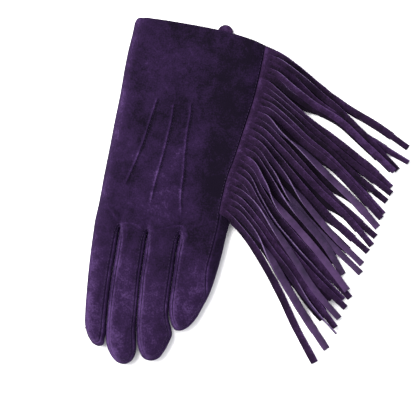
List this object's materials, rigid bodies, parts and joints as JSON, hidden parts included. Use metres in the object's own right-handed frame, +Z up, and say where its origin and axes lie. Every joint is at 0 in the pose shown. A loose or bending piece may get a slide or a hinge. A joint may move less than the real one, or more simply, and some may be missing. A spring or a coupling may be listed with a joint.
{
  "type": "suede dress glove",
  "caption": "Left-hand suede dress glove lying on its palm, with a short gauntlet cuff, raised tucks on the back and a long thong fringe sewn into the little-finger seam.",
  "frame": {"origin": "on the surface the glove lies on, under the middle of the cuff, on the palm's underside", "axes": "+Y from the fingers towards the wrist and cuff, +X from the index finger towards the little finger and the fringe, +Z up through the back of the glove"},
  "size_m": [0.2117, 0.2484, 0.0167],
  "materials": {
    "suede": "napped matte",
    "fringe_suede": "napped matte",
    "tab_leather": "napped matte"
  },
  "bodies": {
    "root": {"back_panel": "suede", "palm_panel": "suede", "thumb": "suede", "fourchette_index_middle": "suede", "fourchette_middle_ring": "suede", "fourchette_ring_little": "suede", "fringe": "fringe_suede", "hanging_tab": "tab_leather"}
  },
  "joints": []
}
